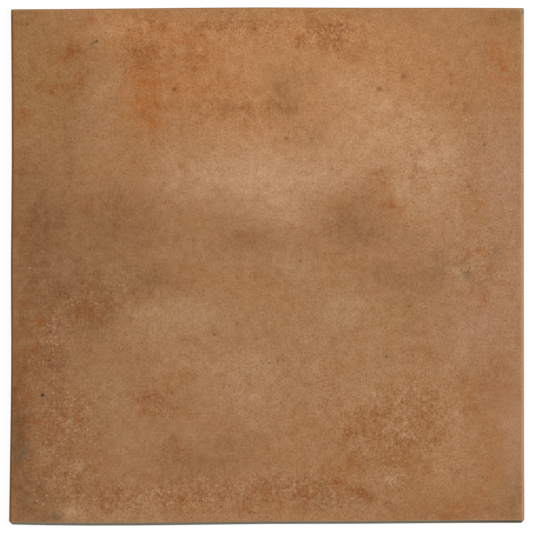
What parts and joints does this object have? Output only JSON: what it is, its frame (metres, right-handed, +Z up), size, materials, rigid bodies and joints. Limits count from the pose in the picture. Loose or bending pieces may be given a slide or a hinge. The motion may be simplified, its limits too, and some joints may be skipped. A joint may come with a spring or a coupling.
{
  "type": "porcelain tile",
  "caption": "Square matt terracotta-look porcelain tile with gently uneven pressed edges, sloped flanks and a ribbed back that keys into adhesive.",
  "frame": {"origin": "centre of the tile's outline on the plane of the back ribs' feet, which lie on the floor", "axes": "+Z up out of the glazed face; X along the front and back edges, Y along the left and right edges, front at -Y"},
  "size_m": [0.3296, 0.3326, 0.009],
  "materials": {
    "fired_tile": "matt terracotta glaze with mottled stains on the face, bare grey fired body on the flank's foot and the back"
  },
  "bodies": {
    "root": {"tile": "fired_tile"}
  },
  "joints": []
}
